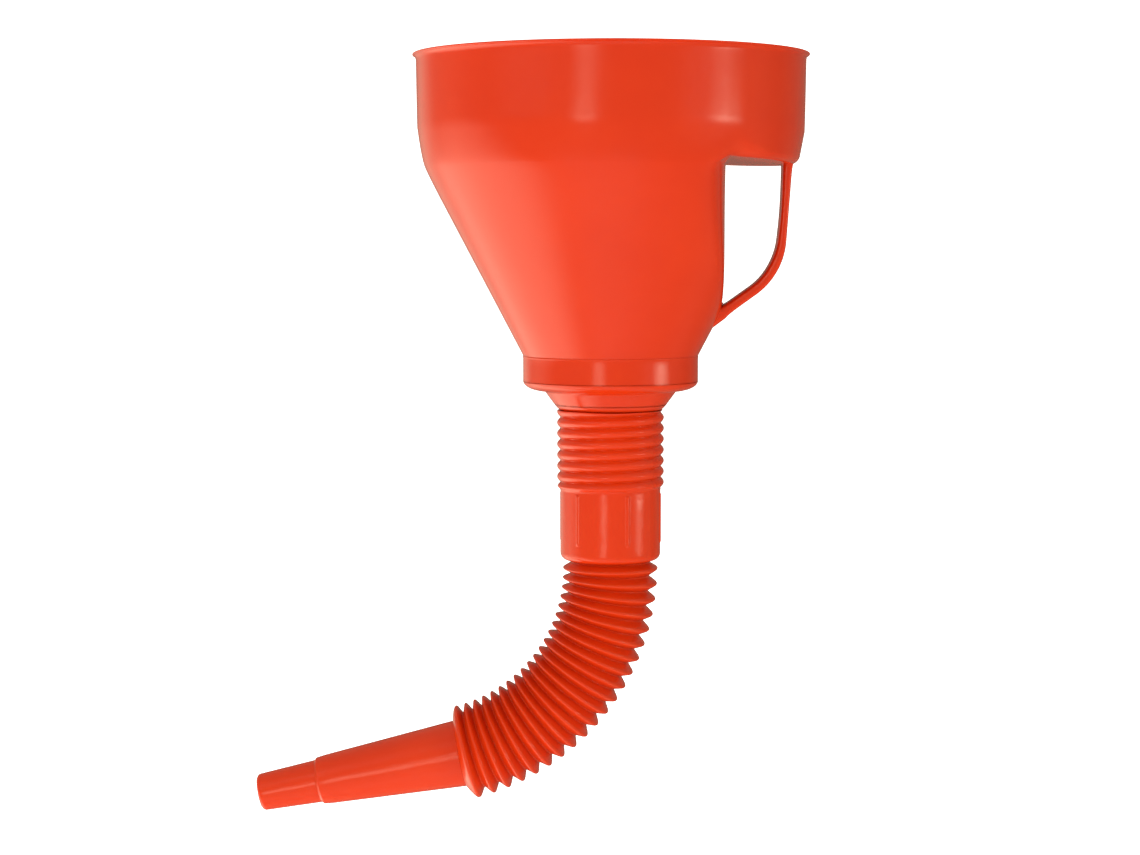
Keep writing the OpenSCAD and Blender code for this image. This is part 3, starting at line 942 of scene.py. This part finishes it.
def stage_object(name, points, faces, material):
    """A plain mesh that belongs to the studio."""
    mesh = bpy.data.meshes.new(name)
    mesh.from_pydata(points, [], faces)
    mesh.materials.append(material)
    thing = bpy.data.objects.new(name, mesh)
    bpy.context.scene.collection.objects.link(thing)
    return thing


HALF_ROOM = 4.0
white_paper = stage_material("white_paper", 1.0)
floor_corners = [(-HALF_ROOM, -HALF_ROOM, FLOOR_Z), (HALF_ROOM, -HALF_ROOM, FLOOR_Z),
                 (HALF_ROOM, HALF_ROOM, FLOOR_Z), (-HALF_ROOM, HALF_ROOM, FLOOR_Z)]
floor = stage_object("floor", floor_corners, [(0, 1, 2, 3)], white_paper)


def room_shell():
    """A sphere round the studio that only the camera sees."""
    rows, columns = 24, 48
    tilt = np.linspace(0.02, math.pi - 0.02, rows).reshape(-1, 1)
    turn = np.arange(columns) * 2 * math.pi / columns
    points = np.stack([np.sin(tilt) * np.cos(turn), np.sin(tilt) * np.sin(turn),
                       np.broadcast_to(np.cos(tilt), (rows, columns))], axis=-1).reshape(-1, 3) * HALF_ROOM
    faces = grid_faces(rows, columns)[: (rows - 1) * columns]
    return stage_object("backdrop", points, faces.tolist(), white_paper)


backdrop = room_shell()
for sheet in (floor, backdrop):
    for hidden_from in ("visible_diffuse", "visible_glossy", "visible_transmission", "visible_shadow"):
        setattr(sheet, hidden_from, False)

# %% [markdown]
# The room is what the gloss shows. It is written as a sum of soft round patches of light, each
# with a direction, an angle where it starts to fade, an angle where it ends, and a strength.
# The broad one low at the left gives the pale sheen down the cone. The row of three at the right
# gives the bright spot on the collar, and the two in front give the faint band on the cuff and
# the thin line along the nozzle. The patch with a negative strength is the dark back right.

# %% World light
ROOM_GLOW = 0.42
ROOM_TINT = "fff2d8"
PATCHES = [
    ((-0.72, 0.20, -0.66), 12, 46, 2.0),
    ((-0.50, 0.83, -0.25), 8, 28, 0.5),
    ((0.883, -0.469, -0.044), 2, 5, 3.0),
    ((0.932, -0.362, -0.044), 2, 5, 6.0),
    ((0.970, -0.242, -0.044), 2, 5, 3.0),
    ((-0.275, -0.96, -0.06), 3, 9, 2.4),
    ((-0.17, -0.97, 0.17), 2, 6, 3.2),
    ((0.45, 0.88, 0.0), 35, 62, -0.22),
]

world = bpy.data.worlds.new("studio_room")
bpy.context.scene.world = world
world.use_nodes = True
sky = world.node_tree
sky.nodes.clear()
sky_way = add_node(sky, "ShaderNodeTexCoord")
glow = add_node(sky, "ShaderNodeValue")
glow.outputs[0].default_value = ROOM_GLOW
total = (glow, "Value")
for direction, fade_from, fade_to, strength in PATCHES:
    toward = np.array(direction) / np.linalg.norm(direction)
    aligned = add_node(sky, "ShaderNodeVectorMath", {"operation": "DOT_PRODUCT"}, _0=(sky_way, "Generated"),
                       _1=tuple(toward))
    patch = add_node(sky, "ShaderNodeMapRange", {"interpolation_type": "SMOOTHSTEP"},
                     Value=(aligned, "Value"), From_Min=math.cos(math.radians(fade_to)),
                     From_Max=math.cos(math.radians(fade_from)), To_Min=0.0, To_Max=strength)
    total = (add_node(sky, "ShaderNodeMath", {"operation": "ADD"}, _0=total, _1=(patch, "Result")), "Value")
sky_glow = add_node(sky, "ShaderNodeBackground", Color=linear(ROOM_TINT), Strength=total)
add_node(sky, "ShaderNodeOutputWorld", Surface=(sky_glow, "Background"))


# %% Soft lights
def soft_light(name, place, target, width, height, watts):
    """A rectangle of light at a place, facing a target, both in metres. It shapes the colour and
    leaves the gloss to the room, so it isn't seen in reflections."""
    lamp = bpy.data.lights.new(name, "AREA")
    lamp.shape = "RECTANGLE"
    lamp.size = width
    lamp.size_y = height
    lamp.energy = watts
    thing = bpy.data.objects.new(name, lamp)
    bpy.context.scene.collection.objects.link(thing)
    thing.location = place
    way = np.array(target) - np.array(place)
    thing.rotation_euler = Vector(way).to_track_quat("-Z", "Y").to_euler()
    thing.visible_glossy = False
    return thing


soft_light("key_light", (-1.3, -1.1, 0.75), (0, 0, 0.02), 1.1, 1.3, 15)
soft_light("fill_light", (1.5, -1.0, 0.3), (0, 0, 0.0), 1.0, 1.2, 14)
soft_light("top_light", (0.0, 0.1, 1.5), (0, 0, 0.1), 1.4, 1.4, 5)
soft_light("back_light", (0.3, 1.5, 0.4), (0, 0, 0.0), 1.2, 1.2, 7)
soft_light("bounce_light", (-0.2, -1.1, -0.9), (0, 0, -0.05), 1.4, 1.0, 8)
soft_light("floor_light", (0.1, -0.3, -1.5), (0, 0, 0.0), 1.6, 1.4, 14)

# %% [markdown]
# ## Camera
#
# The camera stands about a metre away, a little above the collar, and looks slightly down at
# the middle of the picture. The long lens keeps the rim and the folds nearly undistorted.

# %% Camera
AIM = np.array([-0.0165, 0.0, -0.0222])
CAMERA_DISTANCE = 1.01
CAMERA_TILT = math.radians(4.2)
camera_data = bpy.data.cameras.new("camera")
camera_data.lens = 78.2
camera_data.sensor_width = 36.0
camera_data.clip_start = 0.01
camera_data.clip_end = 50.0
camera = bpy.data.objects.new("camera", camera_data)
bpy.context.scene.collection.objects.link(camera)
camera.location = AIM + CAMERA_DISTANCE * np.array([0, -math.cos(CAMERA_TILT), math.sin(CAMERA_TILT)])
camera.rotation_euler = (math.pi / 2 - CAMERA_TILT, 0, 0)
bpy.context.scene.camera = camera
bpy.context.scene.view_settings.view_transform = "Standard"

# %% [markdown]
# ## Finish
#
# The looks must not change the size of the model. At the end the scene is brought up to date.

# %% Bring the scene up to date
bpy.context.view_layer.update()
